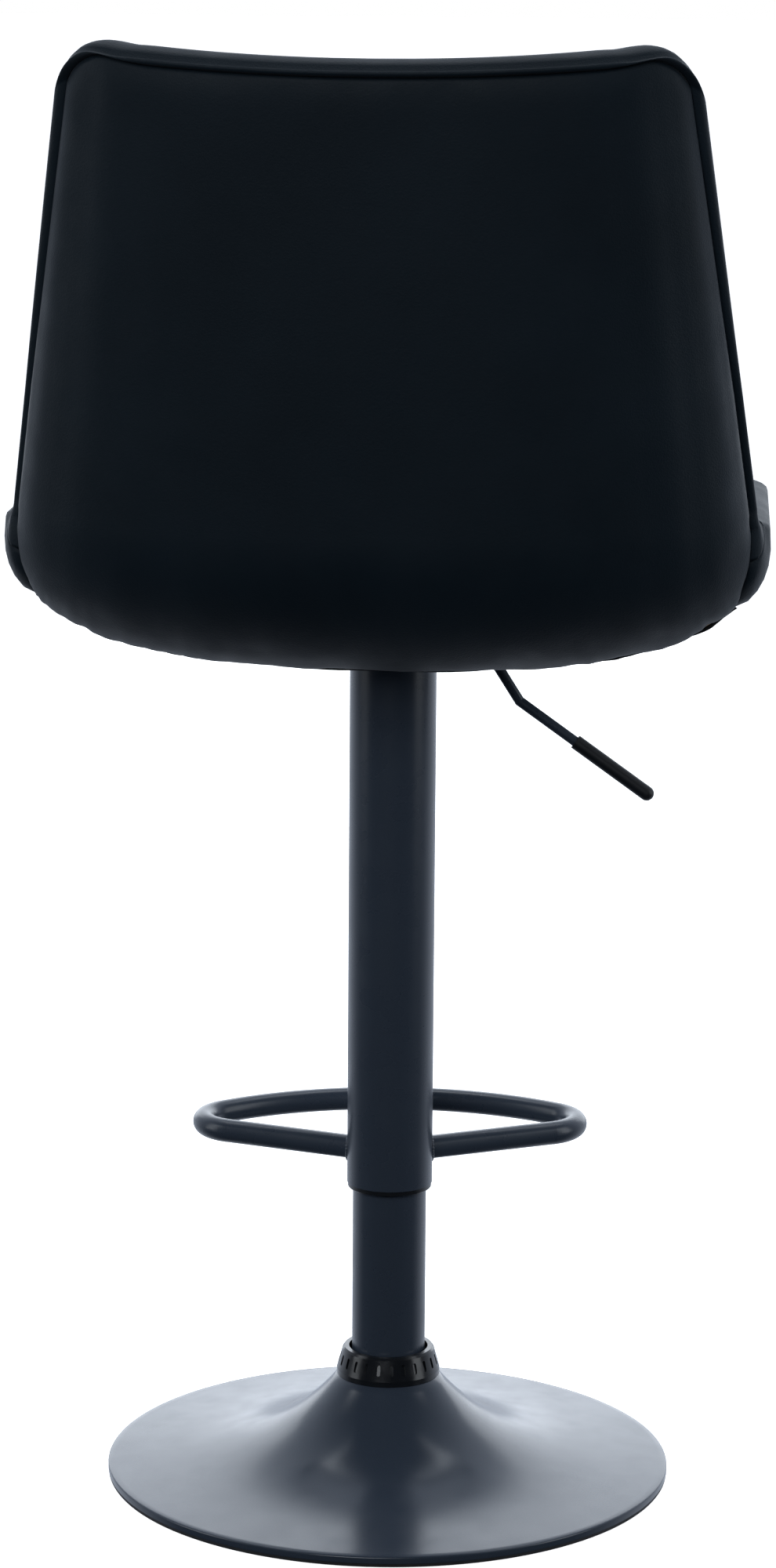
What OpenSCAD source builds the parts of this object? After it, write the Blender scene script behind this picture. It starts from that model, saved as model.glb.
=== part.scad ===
// Gas-lift bar stool: a bucket seat on a telescopic column over a trumpet base, with a loop
// footrest. Millimetres, +Z up, the floor at Z = 0, the column axis at X = Y = 0, front faces +Y.

/* [Base] */
// Radius of the trumpet base
base_r = 192.5; // [170:0.5:225]
// Height of the base shell's lip above the floor ring
lip_top_z = 7; // [6:0.5:12]
// Height of the base where it meets the collar
neck_z = 68; // [60:1:90]
// How far the base's neck stands out from the stand tube, under the collar
neck_flare = 10; // [9:0.5:14]
// Part of the base height that rises as a plain cone
cone_rise = 14; // [8:1:24]
// How sharply the base flares into its neck
flare_power = 3.9; // [3:0.1:5]
// Sheet thickness of the base shell
base_wall = 1.5; // [1:0.1:2.5]
// Distance of the steel weight's edge inside the base's edge
ballast_inset = 32.5; // [30:0.5:60]

/* [Column] */
// Radius of the stand tube
tube_r = 25; // [22:0.5:27]
// Wall of the stand tube and of the sleeve
tube_wall = 1.5; // [1.2:0.1:2]
// Radial room between the stand tube and the sleeve, filled by the guide ring
sleeve_gap = 2.5; // [2:0.1:4]
// How far the seat goes down from its rest height
lift_down = 100; // [60:1:110]
// How far the seat goes up from its rest height
lift_up = 110; // [60:1:115]
// Length of the sleeve
sleeve_len = 360; // [320:1:380]
// Radius of the gas cylinder
cylinder_r = 14; // [13:0.5:17]
// Radius of the piston rod
rod_r = 5; // [4:0.5:6]
// Radial clearance of every sliding or turning fit
running_fit = 0.05; // [0.02:0.01:0.08]

/* [Footrest] */
// Radius of the footrest tube
rest_tube_r = 8; // [6:0.5:10]
// Height of the footrest's centre line above the sleeve's lower end
rest_rise = 20.5; // [15:0.5:60]
// Angle of each arm forward of the side axis
rest_arm_angle = 23.5; // [15:0.5:30]
// Radius of the front arc
rest_arc_r = 198; // [170:1:240]
// Distance of the front arc's centre behind the column axis
rest_arc_back = 62; // [40:1:80]
// Centre-line radius of the corner bends
rest_bend_r = 28; // [22:1:36]
// Turn of the footrest about the column, away from square with the seat, degrees
rest_turn = 4; // [-180:1:180]

/* [Seat] */
// Half of the seat's width
seat_half_w = 246.5; // [215:0.5:270]
// Height of the seat's side edges above its lowest point
seat_depth = 100; // [80:1:104]
// Radius of the bend at the back of the seat
rear_bend_r = 112; // [108:1:130]
// Radius of the bend at the front of the seat
front_bend_r = 112; // [108:1:130]
// Distance from the column axis to the start of the rear bend
rear_bend_y = 78; // [70:1:100]
// Distance from the column axis to the start of the front bend
front_bend_y = 105; // [95:1:130]
// Lean of the backrest away from upright, degrees
back_rake = 6.2; // [2:0.1:12]
// Height of the middle of the backrest's top edge above the seat's lowest point
back_h = 396.5; // [300:0.5:440]
// Half width of the backrest at its upper corners
back_top_half_w = 201; // [180:1:220]
// Thickness of the foam-backed outer cover
cover_t = 3; // [2:0.5:4]
// Thickness of the moulded seat shell
shell_t = 9; // [8:0.5:10]
// Thickness of the seat cushion
seat_pad_t = 45; // [30:1:50]
// Thickness of the back cushion
back_pad_t = 36; // [20:1:40]

/* [Lever] */
// Radius of the lever rod
lever_rod_r = 3.5; // [3:0.25:4]
// Wall of the lever grip around the rod
lever_grip_wall = 1.5; // [1:0.25:3]
// Length of the lever grip
lever_grip_len = 64; // [50:1:80]

/* [Hidden] */
$fn = 64;
eps = 0.01;
layer_gap = 0.3;
// Bent bars: a bend is this much thicker than what it joins, and swallows this length of it
bend_swell = 0.06;
bend_overlap = 1;

// Base stack, from the floor up
ring_h = 2.5;
ring_in_r = base_r - 9;
hub_bottom_z = 7;
neck_r = tube_r + neck_flare;
hub_top_z = neck_z - 1;
ballast_r = base_r - ballast_inset;
hub_out_r = tube_r + 4;
hub_flange_r = 60;
hub_flange_t = 3;
taper_drop = 1;
tube_bottom_z = 9;
disc_t = 4;
disc_top_z = tube_bottom_z + disc_t;
rod_end_r = rod_r - 1;
washer_t = 2;
ball_r = 1.98;
ball_pitch_r = rod_end_r + 5;
ball_count = 9;
lower_washer_top_z = disc_top_z + washer_t;
upper_washer_z = lower_washer_top_z + 2 * (ball_r + 0.02);
rod_shoulder_z = upper_washer_z + washer_t;
bearing_out_r = ball_pitch_r + 4;
clip_t = 1.6;
bumper_h = 12.5;
piston_h = 8;

// Collar around the base's neck
collar_z = neck_z + 0.3;
collar_h = 19;
collar_bottom_r = neck_r + 0.3;
collar_top_r = tube_r + 5.2;
collar_bore_r = tube_r + 2;
neck_out_r = tube_r + 6;
neck_top_z = neck_z + 7;
slot_count = 24;
slot_w = 2.6;
slot_len = 7.5;
slot_deep = 1.2;

// Column stack, at the seat's rest height
guide_lip_h = 3.3;
guide_spigot_h = 10;
lowest_gap = 13.9;
sleeve_r = tube_r + sleeve_gap + tube_wall;
sleeve_z = collar_z + collar_h + lowest_gap + lift_down + guide_lip_h;
sleeve_top_z = sleeve_z + sleeve_len;
rest_z = sleeve_z + rest_rise;
cap_flange_h = 5;
cap_top_z = sleeve_top_z + cap_flange_h;
cap_spigot_h = 11.5;
head_hub_r = cylinder_r + 5;
head_hub_h = 30.5;
head_hub_z = cap_top_z - head_hub_h;
bush_h = 80;
bush_flange_h = 2;
bush_clear = 14;
tube_top_z = head_hub_z - lift_down - bush_flange_h - bush_clear;
cylinder_bottom_gap = 6.5;
cylinder_z = rod_shoulder_z + bumper_h + cylinder_bottom_gap + lift_down;
cylinder_bore_r = cylinder_r - 1.5;
cylinder_top_z = cap_top_z + 3;
cylinder_taper = 0.7;
cylinder_roof = 3;
gland_h = 12;
piston_clear = 30;
rod_top_z = cylinder_z + gland_h + lift_up + piston_clear + piston_h;
valve_h = 10;
pin_r = 2.5;

// Seat plate: a channel with two flanges bolted up under the shell
plate_t = 2.5;
channel_half_w = 42;
channel_half_l = 50;
channel_h = 20.5;
shell_floor_z = cap_top_z + channel_h;
cover_hang = 17;
seat_z = shell_floor_z - cover_hang;
flange_z = shell_floor_z - plate_t;
flange_half_w = 70;
flange_half_l = 72;
recess_gap = 10;
bolt_x = 56;
bolt_y = 60;
bolt_r = 3;
bolt_head_h = 4;
bolt_head_r = 5.8;
bolt_washer_t = 1.2;
bolt_washer_r = 6.5;
nut_barrel_r = 4;
nut_flange_r = 9;
nut_flange_t = 1.2;

// Lever, pivoted on a pin across the channel
pivot_x = 28;
pivot_r = 2.5;
lever_drop = 8;
lever_z = flange_z - lever_drop;
lever_grip_r = lever_rod_r + lever_grip_wall;
ear_half_gap = 9;
ear_t = 2;
rocker_half_w = 6;
rocker_near_x = pivot_x - 8;
rocker_far_x = pivot_x + 12;
rocker_half_h = 6;
socket_deep = 8;
tongue_half_w = 5;
tongue_t = 4;
tongue_reach = 5;
tongue_z = lever_z - 2;
pin_gap = 0.5;
pin_top_z = tongue_z - pin_gap;
lever_bend_x = 58.5;
lever_steep = 57.5;
lever_steep_run = 48.5;
lever_shallow = 35.4;
lever_shallow_run = 46;

// Seat surface
cross_power = 2.85;
rear_turn = 90 - back_rake;
front_turn = 70;
back_side_slope = 0.138;
back_top_z = seat_z + back_h;
side_crown = 6.5;
corner_start_x = back_top_half_w - 50;
corner_drop = 52;
corner_power = 2.6;
front_narrowing = 22;
front_edge_drop = 24;
front_ease = 1.5;
back_edge_depth = 62;
crease_turn = rear_turn / 2;
crease_gap = 0.35;
pad_edge = 0.28;
pad_rise_power = 5;
across_steps = 32;
// Share of the surface, from the middle to its edge, that the stiff shell reaches
shell_reach = 0.96;

// ---------------------------------------------------------------- helpers

// Tube standing on Z = z
module tube(r_out, r_in, z, h) {
    translate([0, 0, z]) rotate_extrude() translate([r_in, 0]) square([r_out - r_in, h]);
}

// Solid of revolution from [radius, height] points
module turned(points) {
    rotate_extrude() polygon(points);
}

// Cylinder from point a along a direction that rises by angle from +X, in the XZ plane
module rod_along(x, z, angle, length, r) {
    translate([x, 0, z]) rotate([0, 90 - angle, 0]) cylinder(h = length, r = r);
}

module at_bolts() {
    for (sx = [-1, 1], sy = [-1, 1]) translate([sx * bolt_x, sy * bolt_y, 0]) children();
}

// ---------------------------------------------------------------- base

// Height of the trumpet at radius r
function flare(r) = (base_r - r) / (base_r - neck_r);
function trumpet_z(r) = lip_top_z + cone_rise * flare(r)
    + (neck_z - lip_top_z - cone_rise) * pow(flare(r), flare_power);
function trumpet_slope(r) = (cone_rise + (neck_z - lip_top_z - cone_rise) * flare_power
    * pow(flare(r), flare_power - 1)) / (base_r - neck_r);
function trumpet_under_z(r) = trumpet_z(r) - base_wall * sqrt(1 + pow(trumpet_slope(r), 2));
trumpet_steps = 36;
lip_round = 1.2;
lip_in_r = base_r - base_wall;
function trumpet_r(i, outer) = outer + (neck_r - outer) * i / trumpet_steps;

module base_shell() {
    outside = [for (i = [0:trumpet_steps]) let (r = trumpet_r(i, base_r - lip_round))
        [r, trumpet_z(r)]];
    inside = [for (i = [trumpet_steps:-1:0]) let (r = trumpet_r(i, lip_in_r))
        [r, trumpet_under_z(r)]];
    color([0.16, 0.18, 0.21]) turned(concat(
        [[lip_in_r, ring_h + eps], [base_r, ring_h + eps], [base_r, lip_top_z - lip_round]],
        outside,
        [[neck_out_r, neck_z + 2.2], [neck_out_r, neck_top_z],
            [neck_out_r - base_wall, neck_top_z], [neck_out_r - base_wall, neck_z]],
        inside
    ));
}

module floor_ring() {
    color([0.07, 0.07, 0.08]) turned([
        [ring_in_r, 0], [base_r - 0.7, 0], [base_r - 0.3, 0.6], [base_r - 0.3, ring_h],
        [lip_in_r - 0.1, ring_h], [lip_in_r - 0.1, ring_h + 1.6],
        [lip_in_r - 3.2, ring_h + 1.6], [lip_in_r - 3.2, ring_h], [ring_in_r, ring_h]
    ]);
}

module base_ballast() {
    color([0.3, 0.3, 0.32]) tube(ballast_r, hub_out_r + 0.3, 3, hub_bottom_z - 3);
}

module base_hub() {
    color([0.35, 0.36, 0.38]) turned([
        [tube_r - taper_drop, hub_bottom_z], [hub_flange_r, hub_bottom_z],
        [hub_flange_r, hub_bottom_z + hub_flange_t], [hub_out_r, hub_bottom_z + hub_flange_t],
        [hub_out_r, hub_top_z], [tube_r, hub_top_z],
        [tube_r - taper_drop, tube_bottom_z]
    ]);
}

module base_collar() {
    slope_angle = atan2(collar_bottom_r - collar_top_r, collar_h - 5);
    color([0.08, 0.09, 0.11]) difference() {
        turned([
            [collar_bottom_r, collar_z], [collar_bottom_r, collar_z + 3.5],
            [collar_top_r + 1.2, collar_z + collar_h - 1.5], [collar_top_r, collar_z + collar_h],
            [collar_bore_r, collar_z + collar_h], [collar_bore_r, neck_top_z + 0.6],
            [neck_out_r + 0.3, neck_top_z + 0.6], [neck_out_r + 0.3, collar_z + 3.4],
            [collar_bottom_r - 0.7, collar_z]
        ]);
        for (i = [0:slot_count - 1]) rotate([0, 0, (i + 0.5) * 360 / slot_count])
            translate([(collar_bottom_r + collar_top_r) / 2 - slot_deep + 0.6, 0,
                collar_z + 3.5 + (collar_h - 5) / 2])
                rotate([0, 90 - slope_angle, 0]) slot_cutter();
    }
}

module slot_cutter() {
    linear_extrude(4) union() {
        square([slot_len - slot_w, slot_w], center = true);
        for (s = [-1, 1]) translate([s * (slot_len - slot_w) / 2, 0]) circle(r = slot_w / 2);
    }
}

// ---------------------------------------------------------------- column, fixed to the base

module stand_tube() {
    in_r = tube_r - tube_wall;
    color([0.17, 0.19, 0.22]) turned([
        [in_r - taper_drop, tube_bottom_z], [tube_r - taper_drop, tube_bottom_z],
        [tube_r, hub_top_z], [tube_r, tube_top_z], [in_r, tube_top_z], [in_r, hub_top_z]
    ]);
}

module tube_end_disc() {
    in_r = tube_r - tube_wall - taper_drop;
    rise = disc_t * taper_drop / (hub_top_z - tube_bottom_z);
    color([0.45, 0.46, 0.48]) turned([
        [rod_end_r + running_fit, tube_bottom_z], [in_r, tube_bottom_z],
        [in_r + rise, disc_top_z], [rod_end_r + running_fit, disc_top_z]
    ]);
}

module lower_bearing_washer() {
    color([0.6, 0.61, 0.63]) tube(bearing_out_r, rod_end_r + 0.4, disc_top_z, washer_t);
}

module guide_bush() {
    in_r = cylinder_r + running_fit;
    color([0.75, 0.74, 0.7]) turned([
        [in_r, tube_top_z - bush_h], [tube_r - tube_wall, tube_top_z - bush_h],
        [tube_r - tube_wall, tube_top_z], [tube_r, tube_top_z],
        [tube_r, tube_top_z + bush_flange_h], [in_r, tube_top_z + bush_flange_h]
    ]);
}

// ---------------------------------------------------------------- thrust bearing cage

module ball_ring(r, h) {
    for (i = [0:ball_count - 1]) rotate([0, 0, i * 360 / ball_count])
        translate([ball_pitch_r, 0, 0]) cylinder(h = h, r = r);
}

module ball_cage() {
    cage_t = 1.2;
    color([0.7, 0.6, 0.3])
        translate([0, 0, lower_washer_top_z + ball_r + 0.02 - cage_t / 2]) difference() {
            cylinder(h = cage_t, r = bearing_out_r - 0.6);
            translate([0, 0, -1]) cylinder(h = cage_t + 2, r = rod_end_r + 0.8);
            translate([0, 0, -1]) ball_ring(ball_r + 0.06, cage_t + 2);
        }
}

module bearing_balls() {
    color([0.8, 0.8, 0.82]) for (i = [0:ball_count - 1]) rotate([0, 0, i * 360 / ball_count])
        translate([ball_pitch_r, 0, lower_washer_top_z + ball_r + 0.02]) sphere(r = ball_r);
}

// ---------------------------------------------------------------- gas spring rod, turns only

module upper_bearing_washer() {
    color([0.6, 0.61, 0.63]) tube(bearing_out_r, rod_end_r, upper_washer_z, washer_t);
}

module piston_rod() {
    color([0.72, 0.73, 0.75]) turned([
        [0, hub_bottom_z - 0.5], [rod_end_r, hub_bottom_z - 0.5], [rod_end_r, rod_shoulder_z],
        [rod_r, rod_shoulder_z], [rod_r, rod_top_z - piston_h],
        [rod_end_r, rod_top_z - piston_h], [rod_end_r, rod_top_z], [0, rod_top_z]
    ]);
}

module rod_clip() {
    color([0.5, 0.5, 0.52]) tube(rod_end_r + 3.5, rod_end_r, tube_bottom_z - clip_t - 0.1, clip_t);
}

module rubber_bumper() {
    color([0.1, 0.1, 0.1]) tube(rod_r + 5.5, rod_r, rod_shoulder_z, bumper_h);
}

module piston() {
    color([0.7, 0.7, 0.72]) turned([
        [rod_end_r, rod_top_z - piston_h], [cylinder_bore_r - running_fit, rod_top_z - piston_h],
        [cylinder_bore_r - running_fit, rod_top_z - piston_h + 2.5],
        [cylinder_bore_r - 2, rod_top_z - piston_h + 2.5],
        [cylinder_bore_r - 2, rod_top_z - 2.5],
        [cylinder_bore_r - running_fit, rod_top_z - 2.5],
        [cylinder_bore_r - running_fit, rod_top_z], [rod_end_r, rod_top_z]
    ]);
}

module piston_seal() {
    color([0.12, 0.12, 0.12]) tube(cylinder_bore_r - running_fit, cylinder_bore_r - 2,
        rod_top_z - piston_h + 2.5, piston_h - 5);
}

// ---------------------------------------------------------------- column, rises with the seat

module gas_cylinder() {
    color([0.1, 0.1, 0.11]) turned([
        [cylinder_bore_r, cylinder_z], [cylinder_r, cylinder_z], [cylinder_r, head_hub_z],
        [cylinder_r - cylinder_taper, cylinder_top_z], [pin_r + 0.5, cylinder_top_z],
        [pin_r + 0.5, cylinder_top_z - cylinder_roof],
        [cylinder_bore_r - cylinder_taper, cylinder_top_z - cylinder_roof],
        [cylinder_bore_r - cylinder_taper, head_hub_z], [cylinder_bore_r, head_hub_z - 4]
    ]);
}

module cylinder_gland() {
    color([0.2, 0.2, 0.22])
        tube(cylinder_bore_r, rod_r + running_fit, cylinder_z, gland_h);
}

module valve_body() {
    color([0.72, 0.6, 0.35]) tube(cylinder_bore_r - cylinder_taper, pin_r + running_fit,
        cylinder_top_z - cylinder_roof - valve_h, valve_h);
}

module outer_sleeve() {
    color([0.16, 0.18, 0.21]) tube(sleeve_r, sleeve_r - tube_wall, sleeve_z, sleeve_len);
}

module sleeve_guide_ring() {
    in_r = tube_r + running_fit;
    color([0.1, 0.11, 0.13]) turned([
        [in_r, sleeve_z - guide_lip_h], [sleeve_r - 1, sleeve_z - guide_lip_h],
        [sleeve_r - 0.6, sleeve_z - guide_lip_h + 0.5], [sleeve_r - 0.6, sleeve_z],
        [sleeve_r - tube_wall, sleeve_z], [sleeve_r - tube_wall, sleeve_z + guide_spigot_h],
        [in_r, sleeve_z + guide_spigot_h]
    ]);
}

module sleeve_cap() {
    color([0.07, 0.08, 0.09]) turned([
        [head_hub_r, sleeve_top_z - cap_spigot_h],
        [sleeve_r - tube_wall, sleeve_top_z - cap_spigot_h],
        [sleeve_r - tube_wall, sleeve_top_z], [sleeve_r, sleeve_top_z],
        [sleeve_r, cap_top_z - 1], [sleeve_r - 1, cap_top_z], [head_hub_r, cap_top_z]
    ]);
}

// Arm end, corner-bend centre and bend angles of the loop, worked out from its radii
arm_dir = [cos(rest_arm_angle), sin(rest_arm_angle)];
bend_offset = rest_bend_r * [-arm_dir[1], arm_dir[0]] + [0, rest_arc_back];
bend_along = bend_offset * arm_dir;
arm_len = sqrt(pow(rest_arc_r - rest_bend_r, 2) - bend_offset * bend_offset
    + bend_along * bend_along) - bend_along;
bend_centre = arm_len * arm_dir + rest_bend_r * [-arm_dir[1], arm_dir[0]];
bend_end_angle = atan2(bend_centre[1] + rest_arc_back, bend_centre[0]);

// Part of a bent bar from angle a0 to a1 around the current Z axis
module bent_bar(bend_r, bar_r, a0, a1) {
    rotate([0, 0, a0]) rotate_extrude(angle = a1 - a0) translate([bend_r, 0]) circle(r = bar_r);
}

// The loop's centre line as a bar; the corner bends swallow the ends of what they join
module footrest_bar(bar_r, end_x) {
    overlap_angle = asin(bend_overlap / rest_arc_r);
    for (m = [0, 1]) mirror([m, 0, 0]) {
        rotate([0, 0, rest_arm_angle]) translate([end_x, 0, 0]) rotate([0, 90, 0])
            cylinder(h = arm_len - end_x + bend_overlap, r = bar_r);
        translate([bend_centre[0], bend_centre[1], 0])
            bent_bar(rest_bend_r, bar_r + bend_swell, rest_arm_angle - 90, bend_end_angle);
    }
    translate([0, -rest_arc_back, 0]) bent_bar(rest_arc_r, bar_r,
        bend_end_angle - overlap_angle, 180 - bend_end_angle + overlap_angle);
}

module footrest() {
    color([0.16, 0.18, 0.21]) translate([0, 0, rest_z]) rotate([0, 0, rest_turn]) difference() {
        footrest_bar(rest_tube_r, sleeve_r - 6);
        footrest_bar(rest_tube_r - tube_wall, sleeve_r - 8);
        translate([0, 0, -20]) cylinder(h = 40, r = sleeve_r);
    }
}

module head_hub() {
    color([0.2, 0.21, 0.23]) turned([
        [cylinder_r, head_hub_z], [head_hub_r, head_hub_z], [head_hub_r, cap_top_z],
        [cylinder_r - cylinder_taper * (cap_top_z - head_hub_z)
            / (cylinder_top_z - head_hub_z), cap_top_z]
    ]);
}

// ---------------------------------------------------------------- seat plate and fixings

module block(x0, x1, half_y, z0, z1) {
    translate([x0, -half_y, z0]) cube([x1 - x0, 2 * half_y, z1 - z0]);
}

module seat_plate() {
    color([0.12, 0.13, 0.14]) difference() {
        union() {
            block(-channel_half_w, channel_half_w, channel_half_l, cap_top_z, cap_top_z + plate_t);
            for (s = [0, 1]) mirror([s, 0, 0]) {
                block(channel_half_w - plate_t, channel_half_w, channel_half_l,
                    cap_top_z + 1, flange_z + 1);
                block(channel_half_w - plate_t, flange_half_w, flange_half_l,
                    flange_z, shell_floor_z);
            }
            for (s = [-1, 1]) translate([0, s * (ear_half_gap + ear_t / 2), 0])
                block(pivot_x - 6, pivot_x + 6, ear_t / 2, cap_top_z + 1, lever_z + 6);
        }
        translate([0, 0, cap_top_z - 1]) cylinder(h = plate_t + 2, r = cylinder_r + 0.5);
        translate([pivot_x, 0, lever_z]) rotate([90, 0, 0])
            cylinder(h = 4 * ear_half_gap, r = pivot_r, center = true);
        block(channel_half_w - 5, channel_half_w + 5, rocker_half_w + 1.5,
            lever_z - rocker_half_h - 1.5, flange_z);
        at_bolts() translate([0, 0, flange_z - 1]) cylinder(h = plate_t + 2, r = bolt_r + 0.3);
    }
}

module pivot_pin() {
    color([0.6, 0.6, 0.62]) translate([pivot_x, 0, lever_z]) rotate([90, 0, 0])
        cylinder(h = 2 * (ear_half_gap + ear_t + 1.5), r = pivot_r, center = true);
}

module seat_bolts() {
    shank_top = shell_floor_z + shell_t - 1.5;
    color([0.25, 0.25, 0.27]) at_bolts() union() {
        translate([0, 0, flange_z - bolt_washer_t - bolt_head_h])
            cylinder(h = bolt_head_h, r = bolt_head_r, $fn = 6);
        translate([0, 0, flange_z - bolt_washer_t - 1])
            cylinder(h = shank_top - flange_z + bolt_washer_t + 1, r = bolt_r);
    }
}

module bolt_washers() {
    color([0.7, 0.7, 0.72]) at_bolts()
        tube(bolt_washer_r, bolt_r + 0.2, flange_z - bolt_washer_t, bolt_washer_t);
}

module tee_nuts() {
    flange_bottom = shell_floor_z + shell_t - nut_flange_t;
    color([0.75, 0.75, 0.77]) at_bolts() turned([
        [bolt_r, shell_floor_z + 0.5], [nut_barrel_r, shell_floor_z + 0.5],
        [nut_barrel_r, flange_bottom], [nut_flange_r, flange_bottom],
        [nut_flange_r, flange_bottom + nut_flange_t], [bolt_r, flange_bottom + nut_flange_t]
    ]);
}

// ---------------------------------------------------------------- bucket seat surface

// Every layer of the bucket is one surface, moved inward by t. A station is a place along the
// middle line from the front edge to the top of the back:
// [y, z, turn angle, half width, side depth, share of the back's height].
rear_centre = [-rear_bend_y, seat_z + rear_bend_r];
front_centre = [front_bend_y, seat_z + front_bend_r];
back_foot_z = rear_centre[1] - rear_bend_r * cos(rear_turn);
back_foot_half_w = back_top_half_w
    + back_side_slope * (back_top_z + side_crown - corner_drop - back_foot_z);

function blend(a, b, q) = a + (b - a) * q;
function ease(q) = q * q * (3 - 2 * q);

function front_station(q) =
    let (
        turn = front_turn * (1 - q),
        reach = tan(turn) / tan(front_turn),
        drop = blend(front_bend_r - seat_depth, front_edge_drop, pow(reach, front_ease))
    ) [
        front_centre[0] + front_bend_r * sin(turn), front_centre[1] - front_bend_r * cos(turn),
        -turn, seat_half_w - front_narrowing * reach * reach,
        front_bend_r - drop / cos(turn), 0
    ];
function flat_station(q) = [
    blend(front_centre[0], rear_centre[0], q), seat_z, 0, seat_half_w, seat_depth, 0
];
function rear_station(turn) = [
    rear_centre[0] - rear_bend_r * sin(turn), rear_centre[1] - rear_bend_r * cos(turn), turn,
    blend(seat_half_w, back_foot_half_w, ease(turn / rear_turn)), seat_depth, 0
];
function back_station(q) = let (foot = rear_station(rear_turn)) [
    foot[0], foot[1], rear_turn, back_foot_half_w,
    blend(seat_depth, back_edge_depth, q), q
];

// Height of the back's top edge at a distance x from the middle
function corner_share(x) = min(1, max(0, (abs(x) - corner_start_x)
    / (back_top_half_w - corner_start_x)));
function top_edge_z(x) = back_top_z + side_crown * min(1, pow(x / corner_start_x, 2))
    - corner_drop * (1 - pow(1 - pow(corner_share(x), corner_power), 1 / corner_power));

// Shares of the half width and of the side depth at u, from -1 at one edge to 1 at the other
function across(u) = sign(u) * pow(abs(sin(90 * u)), 2 / cross_power);
function upward(u) = 1 - pow(abs(cos(90 * u)), 2 / cross_power);

// Point of the layer t at station s and place u, no lower than floor_z
function seat_point(s, u, t, floor_z) =
    let (
        climb = s[5] * (top_edge_z(back_top_half_w * across(u)) - back_foot_z),
        half_w = s[3] - back_side_slope * climb - t,
        rise = t + (s[4] - t) * upward(u),
        ny = sin(s[2]),
        nz = cos(s[2])
    ) [
        half_w * across(u),
        s[0] - climb * tan(back_rake) + rise * ny,
        max(floor_z, s[1] + climb + rise * nz * (1 - s[5]))
    ];

// Every layer stands on the same places and stations, so its facets follow its neighbours'.
// The shell leaves out the outermost ones.
shell_places = [for (i = [0:across_steps - 2])
    shell_reach * (2 * i / (across_steps - 2) - 1)];
all_places = concat([-1], shell_places, [1]);

function layer(stations, t, floor_z, places = all_places) = [for (s = stations)
    [for (u = places) seat_point(s, u, t, floor_z)]];

shell_front = [for (i = [0:7]) front_station(blend(1 - shell_reach, 1, i / 8))];
flat_stations = [for (i = [0:4]) flat_station(i / 5)];
rear_stations = [for (i = [0:7]) rear_station(rear_turn * i / 8)];
shell_back = [for (i = [0:11]) back_station(shell_reach * i / 11)];
front_stations = concat([front_station(0)], shell_front);
back_stations = concat(shell_back, [back_station(1)]);
all_stations = concat(front_stations, flat_stations, rear_stations, back_stations);
shell_stations = concat(shell_front, flat_stations, rear_stations, shell_back);
seat_pad_stations = concat(front_stations, flat_stations,
    [for (i = [0:3]) rear_station(rear_turn * i / 8)], [rear_station(crease_turn - crease_gap)]);
back_pad_stations = concat([rear_station(crease_turn + crease_gap)],
    [for (i = [5:7]) rear_station(rear_turn * i / 8)], back_stations);

// Closed solid between two grids of points of the same size
module solid_between(outer, inner) {
    rows = len(outer);
    cols = len(outer[0]);
    step = rows * cols;
    function at(i, j) = i * cols + j;
    skins = [for (i = [0:rows - 2], j = [0:cols - 2]) each [
        [at(i, j), at(i + 1, j), at(i + 1, j + 1)],
        [at(i, j), at(i + 1, j + 1), at(i, j + 1)],
        [step + at(i, j), step + at(i + 1, j + 1), step + at(i + 1, j)],
        [step + at(i, j), step + at(i, j + 1), step + at(i + 1, j + 1)]
    ]];
    sides = [for (i = [0:rows - 2], j = [0, cols - 1]) let (a = at(i, j), b = at(i + 1, j))
        each (j == 0
            ? [[a, step + a, step + b], [a, step + b, b]]
            : [[a, step + b, step + a], [a, b, step + b]])];
    ends = [for (j = [0:cols - 2], i = [0, rows - 1]) let (a = at(i, j), b = at(i, j + 1))
        each (i == 0
            ? [[a, step + b, step + a], [a, b, step + b]]
            : [[a, step + a, step + b], [a, step + b, b]])];
    polyhedron(
        points = [for (grid = [outer, inner], row = grid, p = row) p],
        faces = concat(skins, sides, ends)
    );
}

cover_floor_z = shell_floor_z - layer_gap;
shell_top_z = shell_floor_z + shell_t;
shell_out_t = cover_t + layer_gap;
shell_in_t = shell_out_t + shell_t;
pad_out_t = shell_in_t + layer_gap;
pad_floor_z = shell_top_z + layer_gap;
no_floor = -1000;

module outer_cover() {
    color([0.07, 0.1, 0.13]) difference() {
        solid_between(layer(all_stations, 0, no_floor),
            layer(all_stations, cover_t, cover_floor_z));
        translate([-flange_half_w - recess_gap, -flange_half_l - recess_gap, seat_z - 5])
            cube([2 * (flange_half_w + recess_gap), 2 * (flange_half_l + recess_gap), 25]);
    }
}

module seat_shell() {
    color([0.72, 0.58, 0.4]) difference() {
        solid_between(layer(shell_stations, shell_out_t, shell_floor_z, shell_places),
            layer(shell_stations, shell_in_t, shell_top_z, shell_places));
        at_bolts() translate([0, 0, shell_floor_z - 1])
            cylinder(h = shell_t + 2, r = nut_barrel_r);
        at_bolts() translate([0, 0, shell_top_z - nut_flange_t])
            cylinder(h = nut_flange_t + 1, r = nut_flange_r);
    }
}

// Share of a pad's full thickness at place v along it and u across it
function bulge(q) = pow(1 - pow(abs(q), pad_rise_power), 0.5);
function pad_share(u, v) = pad_edge + (1 - pad_edge) * bulge(u) * bulge(2 * v - 1);

module cushion(stations, thickness) {
    last = len(stations) - 1;
    top = [for (k = [0:last]) [for (u = all_places)
        seat_point(stations[k], u, pad_out_t + thickness * pad_share(u, k / last), pad_floor_z)]];
    solid_between(layer(stations, pad_out_t, pad_floor_z), top);
}

module seat_pad() {
    color([0.08, 0.11, 0.14]) cushion(seat_pad_stations, seat_pad_t);
}

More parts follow.
